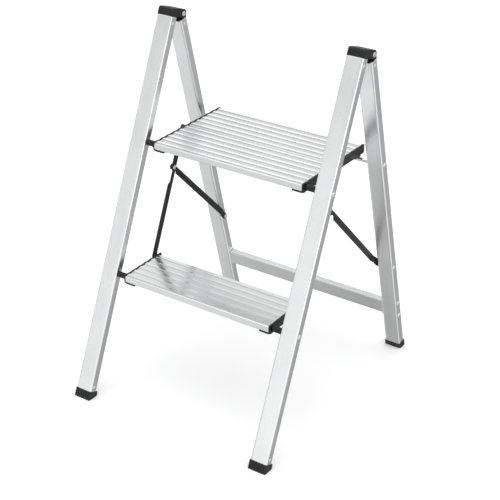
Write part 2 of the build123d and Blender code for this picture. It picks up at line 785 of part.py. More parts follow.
def diagonal_bar(side):
    """Diagonal bar from the rear stile to the strap: set out at its foot, notched near its head."""
    outline = link_outline(
        bar_length, bar_length - bar_notch_from_head, 1, bar_notch_depth, bar_notch_length
    )
    low_x, high_x = both_ways(bar_inner, bar_foot_outer, side)
    flat = link_plane(bar_foot_pivot, bar_head_pivot, low_x)
    body = extrude(flat * outline, high_x - low_x)
    edgewise = Plane(origin=flat.origin - flat.y_dir * link_width, x_dir=flat.x_dir, z_dir=flat.y_dir)
    across = -1 if edgewise.y_dir.X < 0 else 1
    points = [(place, across * (x - low_x)) for place, x in joggle_profile(side)]
    band = extrude(edgewise * make_face(Polyline(*points, close=True)), 2 * link_width)
    holes = [(bar_foot_pivot, rivet_radius + pin_clearance), (bar_head_pivot, rivet_radius + seat_clearance)]
    return bored(body & band, low_x, high_x, holes)


def bar_stud(side):
    """Tail of the strap-to-bar rivet: its shank in the bar and its head outside the bar."""
    return one_head_rivet(
        rivet_radius, rivet_head_radius, rivet_head_height, bar_inner, bar_outer, bar_head_pivot, side
    )


def bar_spacer(side):
    """Spacer washer between the diagonal bar and the rear stile."""
    inner = bar_foot_outer + side_clearance
    body = bar_at(bush_radius, inner, rear_inner, bar_foot_pivot, side)
    return body - bush_bore(inner, rear_inner, bar_foot_pivot, rivet_radius + seat_clearance, side)


def bar_rivet(side):
    """Rivet on which the diagonal bar turns, through the spacer and the rear stile."""
    return rivet(
        rivet_radius,
        rivet_head_radius,
        rivet_head_height,
        bar_inner + bar_joggle - side_clearance,
        half_width,
        bar_foot_pivot,
        side,
    )


# ---------------------------------------------------------------- small fasteners of the frames
def hinge_pin(side):
    """Hinge pin through the front cap's ears and the rear cap's tongue, with a flat head each side."""
    return rivet(
        hinge_pin_radius,
        hinge_pin_head_radius,
        hinge_pin_head_height,
        front_inner,
        half_width,
        (0, hinge_height),
        side,
    )


def paired_rivets(place, inner):
    """The left and right small rivets through the stiles at one (y, z) place."""
    made = []
    for side in (-1, 1):
        made.append(
            rivet(small_rivet_radius, small_head_radius, small_head_height, inner, half_width, place, side)
        )
    return Compound(made)


# ---------------------------------------------------------------- assembly
def build_nodes():
    """All nodes by name, with the hinge axis over Y = 0."""
    nodes = {}
    for side, name in ((-1, "left"), (1, "right")):
        nodes[f"front_stile_{name}"] = front_stile(side)
        nodes[f"front_cap_{name}"] = front_cap(side)
        nodes[f"front_foot_{name}"] = front_foot(side)
        nodes[f"hinge_pin_{name}"] = hinge_pin(side)
        nodes[f"upper_pivot_rivet_{name}"] = step_pivot_rivet(upper_pivot, side)
        nodes[f"lower_pivot_rivet_{name}"] = step_pivot_rivet(lower_pivot, side)
        nodes[f"rear_stile_{name}"] = rear_stile(side)
        nodes[f"rear_cap_{name}"] = rear_cap(side)
        nodes[f"rear_foot_{name}"] = rear_foot(side)
        nodes[f"brace_end_plate_{name}"] = brace_end_plate(side)
        nodes[f"bar_rivet_{name}"] = bar_rivet(side)
        nodes[f"bar_spacer_{name}"] = bar_spacer(side)
        nodes[f"upper_bracket_{name}"] = step_bracket(
            upper_nose, upper_surface, upper_bracket_depth, 2, upper_pivot, upper_strap_pivot, side
        )
        nodes[f"upper_step_bush_{name}"] = step_bush(upper_pivot, side)
        nodes[f"upper_link_bush_{name}"] = link_bush(upper_strap_pivot, side)
        nodes[f"rod_saddle_{name}"] = rod_saddle(side)
        nodes[f"lower_bracket_{name}"] = step_bracket(
            lower_nose, lower_surface, plank_depth, 1, lower_pivot, lower_strap_pivot, side
        )
        nodes[f"lower_step_bush_{name}"] = step_bush(lower_pivot, side)
        nodes[f"lower_link_bush_{name}"] = link_bush(lower_strap_pivot, side)
        nodes[f"strap_{name}"] = strap(side)
        nodes[f"strap_stud_{name}"] = strap_stud(side)
        nodes[f"diagonal_bar_{name}"] = diagonal_bar(side)
        nodes[f"bar_stud_{name}"] = bar_stud(side)
    nodes["front_cap_rivets"] = paired_rivets(front_cap_rivet, front_inner)
    nodes["front_foot_rivets"] = paired_rivets(front_foot_rivet, front_inner)
    nodes["rear_cap_rivets"] = paired_rivets(rear_cap_rivet, rear_inner)
    nodes["cross_brace"] = cross_brace()
    nodes["brace_rivets"] = brace_rivets()
    nodes["stop_rod"] = stop_rod()
    nodes["upper_front_plank"] = plank(upper_nose, upper_surface)
    nodes["upper_rear_plank"] = plank(upper_nose + plank_depth + plank_gap, upper_surface)
    nodes["upper_strap_rivets"] = strap_rivets(upper_strap_pivot)
    nodes["upper_plank_rivets"] = under_rivets(upper_nose, upper_surface, 2)
    nodes["lower_plank"] = plank(lower_nose, lower_surface)
    nodes["lower_strap_rivets"] = strap_rivets(lower_strap_pivot)
    nodes["lower_plank_rivets"] = under_rivets(lower_nose, lower_surface, 1)
    return nodes


def centre_shift(nodes):
    """Shift along Y that puts the origin midway between the toes and the heels."""
    toe = nodes["front_foot_left"].bounding_box().min.Y
    heel = nodes["rear_foot_left"].bounding_box().max.Y
    return -(toe + heel) / 2


def main():
    """Build every node and write it to the parts folder."""
    os.makedirs("parts", exist_ok=True)
    nodes = build_nodes()
    shift = centre_shift(nodes)
    for name, shape in nodes.items():
        export_step(Pos(0, shift, 0) * shape, f"parts/{name}.step")


if __name__ == "__main__":
    main()
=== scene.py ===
"""Looks of a two-step folding ladder: drawn tubes, ribbed treads, black caps, links and rubber feet."""

import json
import logging
import math
from dataclasses import dataclass, field
from enum import Enum
from typing import Iterable, Sequence

import bpy
from mathutils import Euler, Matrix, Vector


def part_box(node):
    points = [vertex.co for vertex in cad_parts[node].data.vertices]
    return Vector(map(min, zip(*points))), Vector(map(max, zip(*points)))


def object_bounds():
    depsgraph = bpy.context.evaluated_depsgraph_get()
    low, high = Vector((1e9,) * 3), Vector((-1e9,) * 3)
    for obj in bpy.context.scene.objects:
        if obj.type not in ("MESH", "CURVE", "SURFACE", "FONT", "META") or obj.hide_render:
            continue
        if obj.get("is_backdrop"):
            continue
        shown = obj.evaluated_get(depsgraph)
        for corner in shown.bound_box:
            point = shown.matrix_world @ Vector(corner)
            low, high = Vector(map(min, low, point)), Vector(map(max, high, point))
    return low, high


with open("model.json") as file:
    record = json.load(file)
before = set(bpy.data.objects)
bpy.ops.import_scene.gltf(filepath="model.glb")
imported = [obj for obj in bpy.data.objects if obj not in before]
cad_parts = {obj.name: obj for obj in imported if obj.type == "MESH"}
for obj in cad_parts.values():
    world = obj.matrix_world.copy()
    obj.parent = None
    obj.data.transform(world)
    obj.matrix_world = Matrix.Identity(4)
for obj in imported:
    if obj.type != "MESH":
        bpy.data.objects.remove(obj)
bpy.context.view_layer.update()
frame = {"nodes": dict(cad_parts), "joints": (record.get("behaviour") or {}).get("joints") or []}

log = logging.getLogger("ladder")

Colour = tuple[float, float, float]
Place = tuple[float, float, float]
Range = tuple[float, float]
Node = bpy.types.Node
Socket = bpy.types.NodeSocket

SIDES = ("left", "right")
MM = 0.001
TREAD_RIDGE = 1.1 * MM  # height of a tread's ridges above its surface
CREVICE_REACH = 3.0 * MM  # how far the painted shade in a corner spreads
NOISE_MEAN = 0.5
NOISE_SPREAD = (0.3, 0.7)  # the range that most noise values fall in


class Grain(Enum):
    """Direction of the drawing or brushing lines of a metal."""

    ALONG_FRONT_STILE = "front"
    ALONG_REAR_STILE = "rear"
    ACROSS = "across"


# ---------------------------------------------------------------- places read from the frame
def joint_place(name: str) -> Vector:
    """Place of a joint's axis at rest.

    Args:
        name: the joint's name in the record.

    Returns:
        The point in metres.
    """
    joint = next(entry for entry in frame["joints"] if entry["name"] == name)
    return Vector(joint["pos_m"])


def lean_between(low: Vector, high: Vector) -> float:
    """Lean from the vertical of the line between two places, seen from the side.

    Args:
        low: the lower place.
        high: the upper place.

    Returns:
        The angle in radians, positive where the line leans towards +Y as it rises.
    """
    rise = high - low
    return math.atan2(rise.y, rise.z)


def front_lean() -> float:
    """Lean of the front stiles, from the two step pivots on them."""
    return lean_between(joint_place("lower_step_fold"), joint_place("upper_step_fold"))


def rear_lean() -> float:
    """Lean of the rear stiles, from the diagonal bar's pivot and the hinge."""
    return lean_between(joint_place("diagonal_left_fold"), joint_place("rear_fold"))


def paired(*stems: str) -> list[str]:
    """Left and right node names for each stem."""
    return [f"{stem}_{side}" for stem in stems for side in SIDES]


def brighter(colour: Colour, gain: float) -> Colour:
    """A colour times a gain."""
    return tuple(gain * level for level in colour)


# ---------------------------------------------------------------- node tree helper
@dataclass
class Tree:
    """A small wrapper that adds and links nodes in one node tree."""

    nodes: bpy.types.Nodes
    links: bpy.types.NodeLinks

    @classmethod
    def of(cls, owner: bpy.types.ID) -> "Tree":
        """Tree of a material, world or node group, emptied first."""
        tree = owner.node_tree if hasattr(owner, "node_tree") else owner
        tree.nodes.clear()
        return cls(tree.nodes, tree.links)

    def add(self, kind: str, settings: dict | None = None, **inputs: object) -> Node:
        """Add one node.

        Args:
            kind: the node's type, without the ShaderNode prefix.
            settings: attributes to set on the node.
            **inputs: values or output sockets by input name, as socket() reads it.

        Returns:
            The new node.
        """
        prefix = "" if kind.startswith("NodeGroup") else "ShaderNode"
        node = self.nodes.new(prefix + kind)
        for name, value in (settings or {}).items():
            setattr(node, name, value)
        for name, value in inputs.items():
            self.feed(self.socket(node, name), value)
        return node

    def socket(self, node: Node, name: str) -> Socket:
        """Input of a node by its name, with _ for a space, or by its number for a name such as In_1."""
        if name.startswith("In_"):
            return node.inputs[int(name[3:])]
        return node.inputs[name.replace("_", " ")]

    def feed(self, socket: Socket, value: object) -> None:
        """Link an output socket to an input, or set the input's own value.

        Args:
            socket: the input.
            value: an output socket, a number, a vector, or a colour without its alpha.
        """
        if isinstance(value, Socket):
            self.links.new(value, socket)
        elif isinstance(value, tuple) and len(value) == 3 and socket.type == "RGBA":
            socket.default_value = (*value, 1.0)
        else:
            socket.default_value = value

    def maths(self, operation: str, *values: object, clamp: bool = False) -> Socket:
        """Result of one Math node.

        Args:
            operation: the node's operation.
            *values: its inputs in order.
            clamp: whether the result is kept between 0 and 1.

        Returns:
            The result.
        """
        node = self.add("Math", {"operation": operation, "use_clamp": clamp})
        for number, value in enumerate(values):
            self.feed(node.inputs[number], value)
        return node.outputs[0]

    def ramp(
        self, value: Socket, low: float, high: float, to_low: float = 0.0, to_high: float = 1.0
    ) -> Socket:
        """Smooth step of a value.

        Args:
            value: the value.
            low: where the step starts.
            high: where it ends; a step down has it below low.
            to_low: the result at low.
            to_high: the result at high.

        Returns:
            The result.
        """
        settings = {"interpolation_type": "SMOOTHSTEP"}
        ends = {"From_Min": low, "From_Max": high, "To_Min": to_low, "To_Max": to_high}
        return self.add("MapRange", settings, Value=value, **ends).outputs[0]

    def mix(self, factor: object, first: object, second: object) -> Socket:
        """Mix of two colours."""
        return self.add("Mix", {"data_type": "RGBA"}, In_0=factor, In_6=first, In_7=second).outputs[2]

    def blend(self, factor: object, first: object, second: object) -> Socket:
        """Mix of two numbers."""
        return self.add("Mix", {"data_type": "FLOAT"}, In_0=factor, In_2=first, In_3=second).outputs[0]

    def shared(self, first: Socket, share: float, second: Socket) -> Socket:
        """Weighted mean of two values, with the first one's share."""
        return self.maths("MULTIPLY_ADD", first, share, self.maths("MULTIPLY", second, 1.0 - share))

    def scaled(self, vector: Socket, factor: object) -> Socket:
        """A vector or colour times a factor."""
        return self.add("VectorMath", {"operation": "SCALE"}, In_0=vector, Scale=factor).outputs[0]

    def noise(self, place: Socket, scale: float = 1.0, detail: float = 2.0, roughness: float = 0.5) -> Socket:
        """Noise value at a place."""
        return self.add("TexNoise", Vector=place, Scale=scale, Detail=detail, Roughness=roughness).outputs[0]


# ---------------------------------------------------------------- shared effects
@dataclass
class Effects:
    """Node groups that several finishes use, each built once."""

    groups: dict[str, bpy.types.NodeTree] = field(default_factory=dict)

    def start(
        self, name: str, inputs: Sequence[tuple[str, str, float]], outputs: Sequence[tuple[str, str]]
    ) -> tuple[Tree, Node, Node]:
        """Make an empty group with named sockets.

        Args:
            name: the group's name.
            inputs: socket name, kind (Float or Vector) and default.
            outputs: socket name and kind.

        Returns:
            The group's tree, its input node and its output node.
        """
        group = bpy.data.node_groups.new(name, "ShaderNodeTree")
        for label, kind, default in inputs:
            socket = group.interface.new_socket(label, in_out="INPUT", socket_type=f"NodeSocket{kind}")
            if kind == "Float":
                socket.default_value = default
        for label, kind in outputs:
            group.interface.new_socket(label, in_out="OUTPUT", socket_type=f"NodeSocket{kind}")
        self.groups[name] = group
        tree = Tree.of(group)
        return tree, tree.add("NodeGroupInput"), tree.add("NodeGroupOutput")

    def place(self, tree: Tree, name: str, **inputs: object) -> Node:
        """Place a group in a material's tree with its own values.

        Args:
            tree: the material's tree.
            name: the group's name.
            **inputs: values or output sockets by input name.

        Returns:
            The group's node.
        """
        node = tree.add("Group")
        node.node_tree = self.groups[name]
        for label, value in inputs.items():
            tree.feed(node.inputs[label], value)
        return node


def build_edge_wear(effects: Effects) -> None:
    """Group that finds rounded-over edges and breaks them up, and gives the rounded normal."""
    tree, entry, leave = effects.start(
        "edge_wear",
        [("Place", "Vector", 0), ("Radius", "Float", 0.001), ("Breakup", "Float", 60.0)],
        [("Mask", "Float"), ("Normal", "Vector")],
    )
    rounded = tree.add("Bevel", {"samples": 6}, Radius=entry.outputs["Radius"]).outputs[0]
    flat = tree.add("NewGeometry").outputs["Normal"]
    agreement = tree.add("VectorMath", {"operation": "DOT_PRODUCT"}, In_0=rounded, In_1=flat)
    edge = tree.ramp(agreement.outputs["Value"], 0.995, 0.86)
    scaled = tree.scaled(entry.outputs["Place"], entry.outputs["Breakup"])
    grain = tree.noise(scaled, detail=4.0, roughness=0.6)
    broken = tree.ramp(grain, 0.38, 0.62)
    tree.feed(leave.inputs["Mask"], tree.maths("MULTIPLY", edge, broken))
    tree.feed(leave.inputs["Normal"], rounded)


def build_drawn_lines(effects: Effects) -> None:
    """Group that gives fine lines along local Z: a height for bump and a slow variation for roughness."""
    tree, entry, leave = effects.start(
        "drawn_lines",
        [("Place", "Vector", 0), ("Lines", "Float", 900.0), ("Length", "Float", 6.0)],
        [("Height", "Float"), ("Variation", "Float")],
    )
    across, along = entry.outputs["Lines"], entry.outputs["Length"]
    density = tree.add("CombineXYZ", X=across, Y=across, Z=along).outputs[0]
    stretched = tree.add(
        "VectorMath", {"operation": "MULTIPLY"}, In_0=entry.outputs["Place"], In_1=density
    ).outputs[0]
    fine = tree.noise(stretched, detail=3.0, roughness=0.65)
    coarse = tree.noise(tree.scaled(stretched, 0.12))
    coarse_height = 0.6
    tree.feed(leave.inputs["Height"], tree.maths("ADD", fine, tree.maths("MULTIPLY", coarse, coarse_height)))
    tree.feed(leave.inputs["Variation"], tree.shared(fine, 0.35, coarse))


def build_mottle(effects: Effects) -> None:
    """Group that gives a slow patchy variation and a sparse fine speckle."""
    tree, entry, leave = effects.start(
        "mottle",
        [("Place", "Vector", 0), ("Patch", "Float", 9.0), ("Speckle", "Float", 700.0)],
        [("Patches", "Float"), ("Specks", "Float")],
    )
    wide = tree.scaled(entry.outputs["Place"], entry.outputs["Patch"])
    fine = tree.scaled(entry.outputs["Place"], entry.outputs["Speckle"])
    tree.feed(leave.inputs["Patches"], tree.noise(wide, detail=5.0, roughness=0.6))
    tree.feed(leave.inputs["Specks"], tree.ramp(tree.noise(fine, detail=1.0, roughness=0.4), 0.60, 0.72))


def build_moulded_grain(effects: Effects) -> None:
    """Group that gives the height of a fine spark-eroded texture on moulded plastic or rubber."""
    tree, entry, leave = effects.start(
        "moulded_grain",
        [("Place", "Vector", 0), ("Size", "Float", 1600.0)],
        [("Height", "Float"), ("Pits", "Float")],
    )
    scaled = tree.scaled(entry.outputs["Place"], entry.outputs["Size"])
    cells = tree.add("TexVoronoi", {"feature": "SMOOTH_F1"}, Vector=scaled, Scale=1.0).outputs["Distance"]
    cloud = tree.noise(scaled, scale=0.7, detail=3.0, roughness=0.6)
    cell_height = 0.7
    tree.feed(leave.inputs["Height"], tree.maths("MULTIPLY_ADD", cells, cell_height, cloud))
    tree.feed(leave.inputs["Pits"], tree.ramp(cells, 0.15, 0.55))


def build_scratches(effects: Effects) -> None:
    """Group that gives sparse hairline scratches in two directions."""
    tree, entry, leave = effects.start(
        "scratches",
        [("Place", "Vector", 0), ("Scale", "Float", 14.0), ("Amount", "Float", 0.5)],
        [("Mask", "Float")],
    )
    tilt, hairline = 0.3, 0.006
    runs = []
    for turn, stretch in ((0.5, 26.0), (-0.9, 34.0)):
        rotation, scale = (tilt, turn, turn * 2), (1, stretch, 1)
        turned = tree.add("Mapping", Vector=entry.outputs["Place"], Rotation=rotation, Scale=scale).outputs[0]
        value = tree.noise(tree.scaled(turned, entry.outputs["Scale"]))
        from_mean = tree.maths("ABSOLUTE", tree.maths("SUBTRACT", value, NOISE_MEAN))
        runs.append(tree.ramp(from_mean, hairline, 0.0))
    patch = tree.ramp(tree.noise(entry.outputs["Place"], scale=30.0), 0.48, 0.7)
    amount = tree.maths("MULTIPLY", patch, entry.outputs["Amount"])
    tree.feed(leave.inputs["Mask"], tree.maths("MULTIPLY", tree.maths("MAXIMUM", *runs), amount))


def build_crevice(effects: Effects) -> None:
    """Group that finds the corners where one piece meets another, as a mask for painted shade."""
    tree, entry, leave = effects.start(
        "crevice", [("Reach", "Float", 0.004), ("Depth", "Float", 0.5)], [("Mask", "Float")]
    )
    open_air = tree.add("AmbientOcclusion", {"samples": 6}, Distance=entry.outputs["Reach"]).outputs["AO"]
    closed = tree.ramp(open_air, 0.75, 0.25)
    tree.feed(leave.inputs["Mask"], tree.maths("MULTIPLY", closed, entry.outputs["Depth"]))


def build_effects() -> Effects:
    """Build every shared node group once."""
    effects = Effects()
    build_edge_wear(effects)
    build_drawn_lines(effects)
    build_mottle(effects)
    build_moulded_grain(effects)
    build_scratches(effects)
    build_crevice(effects)
    return effects


# ---------------------------------------------------------------- finishes
@dataclass
class Surface:
    """A material with one Principled shader joined to its output."""

    material: bpy.types.Material
    tree: Tree
    shader: Node

    @classmethod
    def named(cls, name: str) -> "Surface":
        """Start a material with a name."""
        material = bpy.data.materials.new(name)
        material.use_nodes = True
        tree = Tree.of(material)
        shader = tree.add("BsdfPrincipled")
        output = tree.add("OutputMaterial")
        tree.links.new(shader.outputs[0], output.inputs["Surface"])
        return cls(material, tree, shader)

    def set(self, label: str, value: object) -> None:
        """Link or set one input of the shader."""
        self.tree.feed(self.shader.inputs[label], value)

    def relief(self, height: Socket, wear: Node, strength: float, depth: float) -> None:
        """Bump the rounded normal.

        Args:
            height: the height.
            wear: the edge_wear group's node, whose normal is bumped.
            strength: the bump's strength.
            depth: the bump's distance in metres.
        """
        normal = wear.outputs["Normal"]
        bump = self.tree.add("Bump", Strength=strength, Distance=depth, Height=height, Normal=normal)
        self.set("Normal", bump.outputs[0])


def grain_place(tree: Tree, grain: Grain) -> Socket:
    """Object coordinates turned so that local Z runs along the grain."""
    place = tree.add("TexCoord").outputs["Object"]
    turns = {
        Grain.ALONG_FRONT_STILE: (front_lean(), 0.0, 0.0),
        Grain.ALONG_REAR_STILE: (rear_lean(), 0.0, 0.0),
        Grain.ACROSS: (0.0, math.pi / 2, 0.0),
    }
    return tree.add("Mapping", Vector=place, Rotation=turns[grain]).outputs[0]


@dataclass(frozen=True)
class DrawnAluminium:
    """Clear-anodised drawn aluminium with fine lines along its length, and painted shade in the corners where
    pieces meet.
    """

    name: str
    grain: Grain
    colour: Colour = (0.88, 0.885, 0.89)
    shade: Colour = (0.78, 0.785, 0.79)
    worn: Colour = (0.95, 0.95, 0.95)
    # painted shade: the dark colour that corners where pieces meet are mixed towards
    painted_shade: Colour = (0.12, 0.12, 0.12)
    patch_share: float = 0.6
    roughness: float = 0.24
    roughness_spread: float = 0.10
    patch_roughness: float = 0.06
    worn_polish: float = 0.08
    line_strength: float = 0.035
    line_depth: float = 0.2 * MM
    edge_radius: float = 1.6 * MM
    scratch_amount: float = 0.25
    # how strongly the painted shade darkens those corners
    crevice_shade_depth: float = 0.45

    def build(self, effects: Effects) -> bpy.types.Material:
        """Make the material.

        Args:
            effects: the shared node groups.

        Returns:
            The finished material.
        """
        surface = Surface.named(self.name)
        tree = surface.tree
        place = grain_place(tree, self.grain)
        lines = effects.place(tree, "drawn_lines", Place=place)
        mottle = effects.place(tree, "mottle", Place=place)
        wear = effects.place(tree, "edge_wear", Place=place, Radius=self.edge_radius)
        scratch = effects.place(tree, "scratches", Place=place, Amount=self.scratch_amount)
        crevice = effects.place(tree, "crevice", Reach=CREVICE_REACH, Depth=self.crevice_shade_depth)

        tone = tree.shared(mottle.outputs["Patches"], self.patch_share, lines.outputs["Variation"])
        colour = tree.mix(tree.ramp(tone, *NOISE_SPREAD), self.shade, self.colour)
        colour = tree.mix(scratch.outputs["Mask"], colour, self.shade)
        colour = tree.mix(wear.outputs["Mask"], colour, self.worn)
        # painted shade: the crevice mask darkens the colour where pieces meet
        surface.set("Base Color", tree.mix(crevice.outputs["Mask"], colour, self.painted_shade))
        surface.set("Metallic", 1.0)

        smoothest = self.roughness - self.roughness_spread / 2
        rough = tree.maths("MULTIPLY_ADD", lines.outputs["Variation"], self.roughness_spread, smoothest)
        rough = tree.maths("MULTIPLY_ADD", mottle.outputs["Patches"], self.patch_roughness, rough)
        polish = tree.maths("MULTIPLY", wear.outputs["Mask"], self.worn_polish)
        surface.set("Roughness", tree.maths("SUBTRACT", rough, polish, clamp=True))
        height = tree.maths("SUBTRACT", lines.outputs["Height"], scratch.outputs["Mask"])
        surface.relief(height, wear, self.line_strength, self.line_depth)
        return surface.material


@dataclass(frozen=True)
class RibbedTread:
    """Ribbed tread extrusion: rubbed, smoother rib tops over satin troughs, with a painted highlight on the
    rib tops, painted shade in the troughs and on the rib flanks, and scuffs from use.
    """

    name: str
    surface_height: float
    ridge_height: float = TREAD_RIDGE
    # Colours of the top: painted shade in the troughs, a painted highlight on the rib tops and darker painted
    # shade on their flanks; the side faces keep the plain colour.
    trough_painted_shade: Colour = (0.70, 0.705, 0.71)
    ridge_painted_highlight: Colour = (0.98, 0.98, 0.98)
    flank_painted_shade: Colour = (0.50, 0.50, 0.505)
    side: Colour = (0.84, 0.845, 0.85)
    scuffed: Colour = (0.55, 0.555, 0.56)
    worn: Colour = (0.96, 0.96, 0.96)
    top_margin: Range = (0.6 * MM, 0.1 * MM)
    ridge_share: Range = (0.04, 0.2)
    level_facing: Range = (0.70, 0.97)
    patch_share: float = 0.5
    tone: Range = (0.94, 1.02)
    trough_roughness: float = 0.30
    ridge_roughness: float = 0.18
    roughness_spread: float = 0.08
    scuff: float = 0.22
    scuff_colour_share: float = 0.6
    line_strength: float = 0.04
    line_depth: float = 0.2 * MM
    edge_radius: float = 0.3 * MM

    def build(self, effects: Effects) -> bpy.types.Material:
        """Make the material.

        Args:
            effects: the shared node groups.

        Returns:
            The finished material.
        """
        surface = Surface.named(self.name)
        tree = surface.tree
        place = grain_place(tree, Grain.ACROSS)
        lines = effects.place(tree, "drawn_lines", Place=place, Lines=1100.0, Length=5.0)
        mottle = effects.place(tree, "mottle", Place=place, Patch=12.0)
        wear = effects.place(tree, "edge_wear", Place=place, Radius=self.edge_radius, Breakup=90.0)
        scratch = effects.place(tree, "scratches", Place=place, Scale=20.0, Amount=self.scuff)

        height = tree.add("SeparateXYZ", Vector=tree.add("TexCoord").outputs["Object"]).outputs["Z"]
        facing = tree.add("SeparateXYZ", Vector=tree.add("NewGeometry").outputs["Normal"]).outputs["Z"]
        on_top = tree.ramp(height, *(self.surface_height - margin for margin in self.top_margin))
        raised = tree.ramp(
            height, *(self.surface_height + share * self.ridge_height for share in self.ridge_share)
        )
        level = tree.ramp(facing, *self.level_facing)

        # painted shade: the top's troughs are coloured darker than the side faces
        colour = tree.mix(on_top, self.side, self.trough_painted_shade)
        # painted highlight on the level rib tops, painted shade on their sloping flanks
        colour = tree.mix(raised, colour, tree.mix(level, self.flank_painted_shade, self.ridge_painted_highlight))
        variation = tree.shared(mottle.outputs["Patches"], self.patch_share, lines.outputs["Variation"])
        colour = tree.scaled(colour, tree.ramp(variation, *NOISE_SPREAD, *self.tone))
        scuffs = tree.maths("MULTIPLY", scratch.outputs["Mask"], self.scuff_colour_share)
        colour = tree.mix(scuffs, colour, self.scuffed)
        surface.set("Base Color", tree.mix(wear.outputs["Mask"], colour, self.worn))
        surface.set("Metallic", 1.0)

        on_ridge = tree.maths("MULTIPLY", raised, level)
        rough = tree.blend(on_ridge, self.trough_roughness, self.ridge_roughness)
        smoothest = tree.maths("SUBTRACT", rough, self.roughness_spread / 2)
        rough = tree.maths("MULTIPLY_ADD", lines.outputs["Variation"], self.roughness_spread, smoothest)
        surface.set("Roughness", rough)
        relief = tree.maths("SUBTRACT", lines.outputs["Height"], scratch.outputs["Mask"])
        surface.relief(relief, wear, self.line_strength, self.line_depth)
        return surface.material


@dataclass(frozen=True)
class MouldedBlack:
    """Black moulded plastic or rubber with a fine grain, slightly rubbed edges, and painted shade in corners
    and grooves.
    """

    name: str
    colour: Colour = (0.007, 0.007, 0.008)
    rubbed: Colour = (0.05, 0.05, 0.052)
    dust: Colour = (0.06, 0.06, 0.06)
    # painted shade: the near-black colour that corners and grooves are mixed towards
    painted_shade: Colour = (0.001, 0.001, 0.001)
    patch_gain: float = 1.5
    patch_range: Range = (0.35, 0.7)
    rubbed_share: float = 0.7
    sheen: float = 0.30
    roughness: float = 0.36
    roughness_spread: float = 0.16
    pit_roughness: float = 0.06
    rubbed_polish: float = 0.12
    grain_size: float = 1500.0
    grain_strength: float = 0.25
    grain_depth: float = 0.12 * MM
    edge_radius: float = 0.9 * MM
    dustiness: float = 0.10
    # how strongly the painted shade darkens corners and grooves
    crevice_shade_depth: float = 0.8

    def build(self, effects: Effects) -> bpy.types.Material:
        """Make the material.

        Args:
            effects: the shared node groups.

        Returns:
            The finished material.
        """
        surface = Surface.named(self.name)
        tree = surface.tree
        place = tree.add("TexCoord").outputs["Object"]
        grain = effects.place(tree, "moulded_grain", Place=place, Size=self.grain_size)
        mottle = effects.place(tree, "mottle", Place=place, Patch=22.0, Speckle=900.0)
        wear = effects.place(tree, "edge_wear", Place=place, Radius=self.edge_radius, Breakup=120.0)
        crevice = effects.place(tree, "crevice", Reach=CREVICE_REACH, Depth=self.crevice_shade_depth)

        patches = tree.ramp(mottle.outputs["Patches"], *self.patch_range)
        colour = tree.mix(patches, self.colour, brighter(self.colour, self.patch_gain))
        colour = tree.mix(tree.maths("MULTIPLY", mottle.outputs["Specks"], self.dustiness), colour, self.dust)
        edges = tree.maths("MULTIPLY", wear.outputs["Mask"], self.rubbed_share)
        colour = tree.mix(edges, colour, self.rubbed)
        # painted shade: the crevice mask darkens corners and grooves
        surface.set("Base Color", tree.mix(crevice.outputs["Mask"], colour, self.painted_shade))
        surface.set("Specular IOR Level", self.sheen)

        smoothest = self.roughness - self.roughness_spread / 2
        rough = tree.maths("MULTIPLY_ADD", mottle.outputs["Patches"], self.roughness_spread, smoothest)
        rough = tree.maths("MULTIPLY_ADD", grain.outputs["Pits"], self.pit_roughness, rough)
        polish = tree.maths("MULTIPLY", wear.outputs["Mask"], self.rubbed_polish)
        surface.set("Roughness", tree.maths("SUBTRACT", rough, polish, clamp=True))
        surface.relief(grain.outputs["Height"], wear, self.grain_strength, self.grain_depth)
        return surface.material


@dataclass(frozen=True)
class PowderCoat:
    """Black powder coat on pressed steel: orange-peel surface, with bare metal showing at rubbed edges."""

    name: str
    colour: Colour = (0.008, 0.008, 0.009)
    bare: Colour = (0.42, 0.42, 0.43)
    speck: Colour = (0.04, 0.04, 0.04)
    patch_gain: float = 1.6
    speck_share: float = 0.12
    sheen: float = 0.32
    roughness: float = 0.34
    roughness_spread: float = 0.14
    peel_size: float = 420.0
    peel_strength: float = 0.22
    peel_depth: float = 0.08 * MM
    edge_radius: float = 0.5 * MM
    chipping: float = 0.10

    def build(self, effects: Effects) -> bpy.types.Material:
        """Make the material.

        Args:
            effects: the shared node groups.

        Returns:
            The finished material.
        """
        surface = Surface.named(self.name)
        tree = surface.tree
        place = tree.add("TexCoord").outputs["Object"]
        peel = effects.place(tree, "moulded_grain", Place=place, Size=self.peel_size)
        mottle = effects.place(tree, "mottle", Place=place, Patch=30.0, Speckle=600.0)
        wear = effects.place(tree, "edge_wear", Place=place, Radius=self.edge_radius, Breakup=160.0)

        chipped = tree.maths("MULTIPLY", wear.outputs["Mask"], self.chipping)
        patches = tree.ramp(mottle.outputs["Patches"], *NOISE_SPREAD)
        colour = tree.mix(patches, self.colour, brighter(self.colour, self.patch_gain))
        specks = tree.maths("MULTIPLY", mottle.outputs["Specks"], self.speck_share)
        colour = tree.mix(specks, colour, self.speck)
        surface.set("Base Color", tree.mix(chipped, colour, self.bare))
        surface.set("Metallic", chipped)
        surface.set("Specular IOR Level", self.sheen)

        smoothest = self.roughness - self.roughness_spread / 2
        rough = tree.maths("MULTIPLY_ADD", mottle.outputs["Patches"], self.roughness_spread, smoothest)
        surface.set("Roughness", rough)
        surface.relief(peel.outputs["Height"], wear, self.peel_strength, self.peel_depth)
        return surface.material


